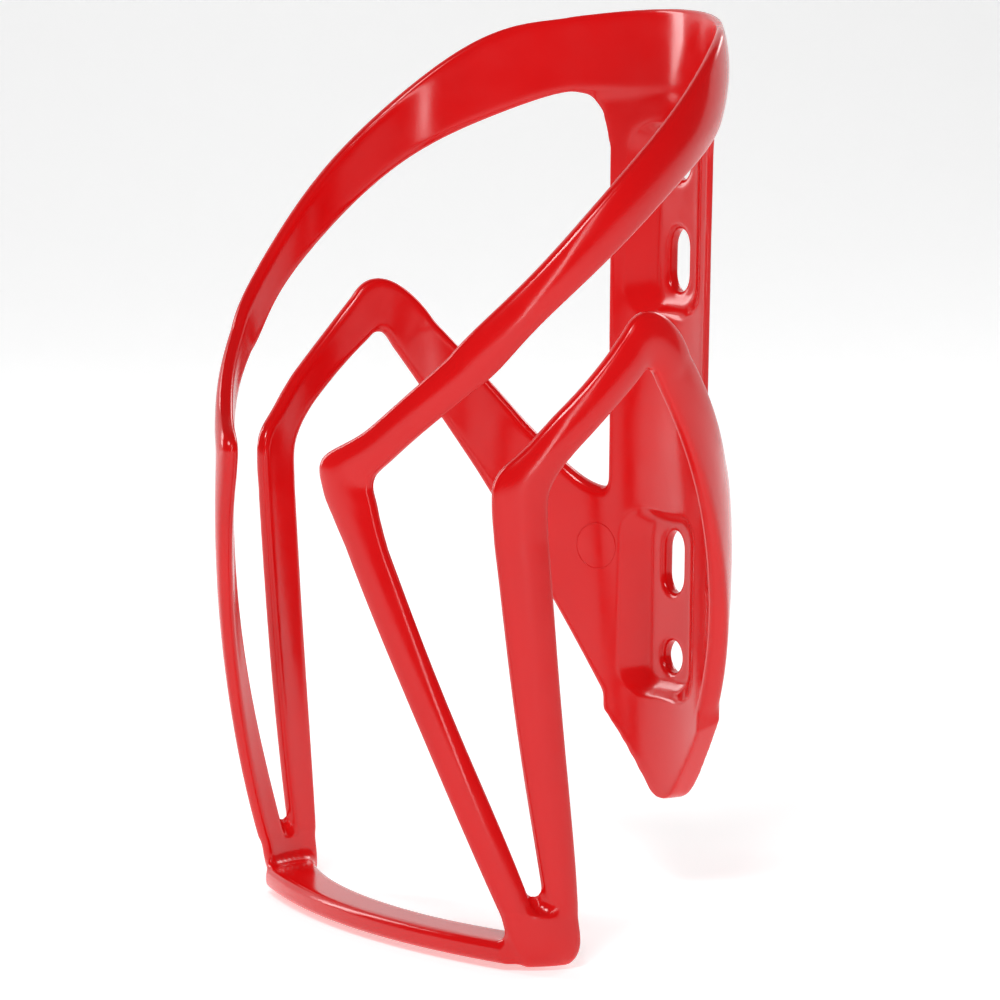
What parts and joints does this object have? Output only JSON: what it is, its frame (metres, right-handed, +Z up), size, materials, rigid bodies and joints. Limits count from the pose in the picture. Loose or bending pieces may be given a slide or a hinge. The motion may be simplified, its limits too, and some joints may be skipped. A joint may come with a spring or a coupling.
{
  "type": "bicycle water bottle cage",
  "caption": "Moulded bicycle bottle cage in glossy red nylon with a slanting hoop, zigzag side wings, a slotted spine and a flat foot lip.",
  "frame": {"origin": "on the rear mounting face, on the cage's middle line, halfway between the upper and lower bolt holes", "axes": "+Z up along the bottle, +Y out of the rear face towards the bicycle tube, +X to the right seen from the bottle side"},
  "size_m": [0.082, 0.0779, 0.1427],
  "materials": {
    "red_nylon": "gloss"
  },
  "bodies": {
    "root": {"back_plate": "red_nylon", "foot_corner_left": "red_nylon", "foot_corner_right": "red_nylon", "foot_lip": "red_nylon", "hoop_arm_left": "red_nylon", "hoop_arm_right": "red_nylon", "hoop_corner_left": "red_nylon", "hoop_corner_right": "red_nylon", "hoop_crown": "red_nylon", "hoop_leg_left": "red_nylon", "hoop_leg_right": "red_nylon", "spine": "red_nylon", "wing_apex_left": "red_nylon", "wing_apex_right": "red_nylon", "wing_arm_left": "red_nylon", "wing_arm_right": "red_nylon", "wing_corner_left": "red_nylon", "wing_corner_right": "red_nylon", "wing_leg_left": "red_nylon", "wing_leg_right": "red_nylon", "wing_riser_left": "red_nylon", "wing_riser_right": "red_nylon", "wing_root_left": "red_nylon", "wing_root_right": "red_nylon"}
  },
  "joints": []
}
